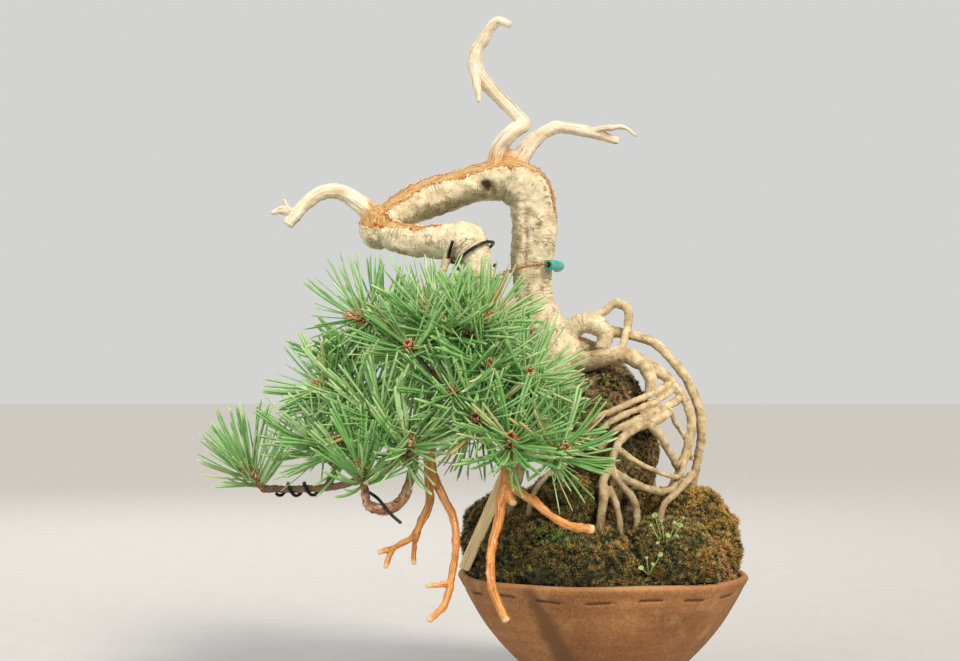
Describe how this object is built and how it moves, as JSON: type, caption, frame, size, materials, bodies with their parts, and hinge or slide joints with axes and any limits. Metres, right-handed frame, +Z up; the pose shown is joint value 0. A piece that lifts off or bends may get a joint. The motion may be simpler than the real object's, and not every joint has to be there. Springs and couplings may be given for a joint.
{
  "type": "bonsai tree in a pot",
  "caption": "Pine bonsai with exposed roots, a folded trunk, bleached deadwood and needle sprays, growing from mossy soil in a round unglazed clay bowl.",
  "frame": {"origin": "middle of the flat underside of the bowl's foot", "axes": "+Z up from the surface that the bowl stands on; -Y is the tree's front, towards the viewer; the live branch hangs towards -X"},
  "size_m": [0.3799, 0.262, 0.4728],
  "materials": {
    "clay": "unglazed, fine sandy matte earthenware with tool marks and a water stain",
    "soil": "damp dark grit and bark soil, matte",
    "moss_green": "short dense moss, green to brown, matte",
    "moss_gold": "short dense moss, golden yellow to rust, matte",
    "bark": "beige-grey wrinkled bark, darker in the grooves, with a fresh cream and orange strip",
    "deadwood": "bleached bare wood with grain and fine cracks",
    "stripped_wood": "freshly peeled orange-brown wood with pale cut ends",
    "stake_wood": "pale square-cut softwood",
    "copper_wire": "thin copper strand, slightly dulled",
    "teal_sleeve": "smooth teal-green plastic tube",
    "dark_wire": "dark anodised soft wire",
    "seedling_leaf": "thin pale green leaf",
    "needles": "satin mid-green needles with paler tips"
  },
  "bodies": {
    "root": {"pot": "clay", "soil": "soil", "moss_front": "moss_green", "moss_front_right": "moss_green", "moss_right": "moss_gold", "moss_right_back": "moss_gold", "moss_left_front": "moss_green", "moss_left": "moss_green", "moss_left_back": "moss_green", "moss_back": "moss_green", "moss_upper_front": "moss_green", "trunk": "bark", "deadwood_left": "deadwood", "deadwood_crown": "deadwood", "stripped_branch_left": "stripped_wood", "stripped_branch_right": "stripped_wood", "stake": "stake_wood", "guy_wire": "copper_wire", "wire_sleeve": "teal_sleeve", "training_wire_fold": "dark_wire", "training_wire_branch": "dark_wire", "seedling_right": "seedling_leaf", "seedling_front": "seedling_leaf", "needles_01": "needles", "needles_02": "needles", "needles_03": "needles", "needles_04": "needles", "needles_05": "needles", "needles_06": "needles", "needles_07": "needles", "needles_08": "needles", "needles_09": "needles", "needles_10": "needles", "needles_11": "needles", "needles_12": "needles", "needles_13": "needles", "needles_14": "needles", "needles_15": "needles", "needles_16": "needles", "needles_17": "needles", "needles_18": "needles", "needles_19": "needles", "needles_20": "needles", "needles_21": "needles", "needles_22": "needles", "needles_23": "needles", "needles_24": "needles", "needles_25": "needles", "needles_26": "needles", "needles_27": "needles", "needles_28": "needles", "needles_29": "needles", "needles_30": "needles", "needles_31": "needles"}
  },
  "joints": []
}
